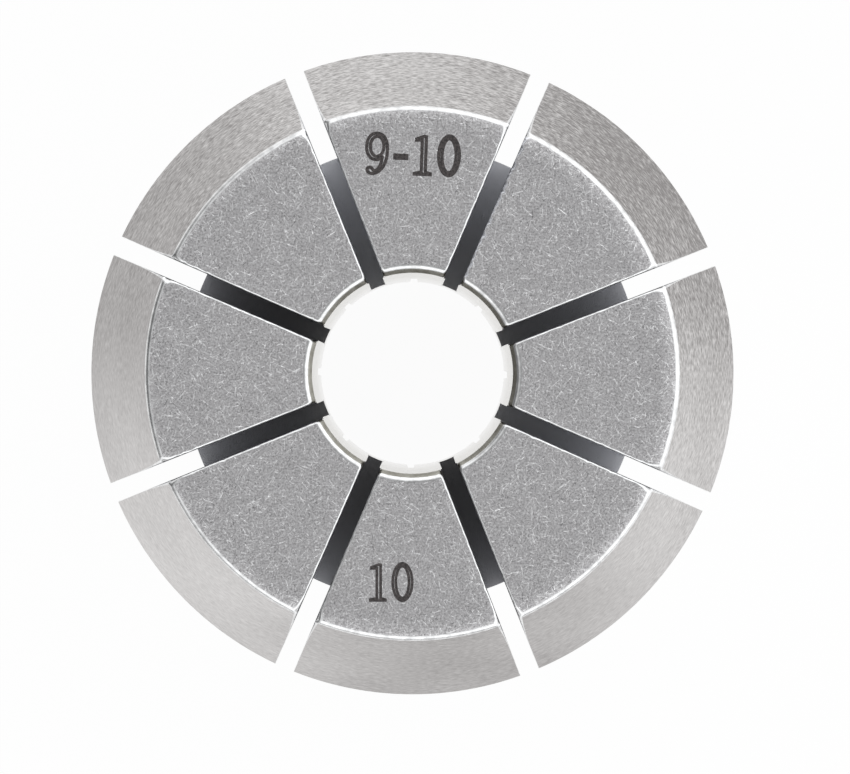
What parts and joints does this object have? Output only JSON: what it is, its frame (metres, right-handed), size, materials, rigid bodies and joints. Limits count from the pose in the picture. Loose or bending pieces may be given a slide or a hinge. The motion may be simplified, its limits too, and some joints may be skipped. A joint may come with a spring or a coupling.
{
  "type": "er collet",
  "caption": "One-piece slit spring collet of ground steel, with a seating taper, nose cone and extraction groove, that grips a round tool shank in its central bore.",
  "frame": {"origin": "centre of the rear end face, on the bore's axis; the collet stands on that face", "axes": "+Z along the bore from the rear end to the front face, +X through the middle of a rear slit"},
  "size_m": [0.033, 0.033, 0.04],
  "materials": {
    "spring_steel": "hardened spring steel: tumbled front face, ground nose cone, taper and bore, sawn slits"
  },
  "bodies": {
    "root": {"collet": "spring_steel"}
  },
  "joints": []
}
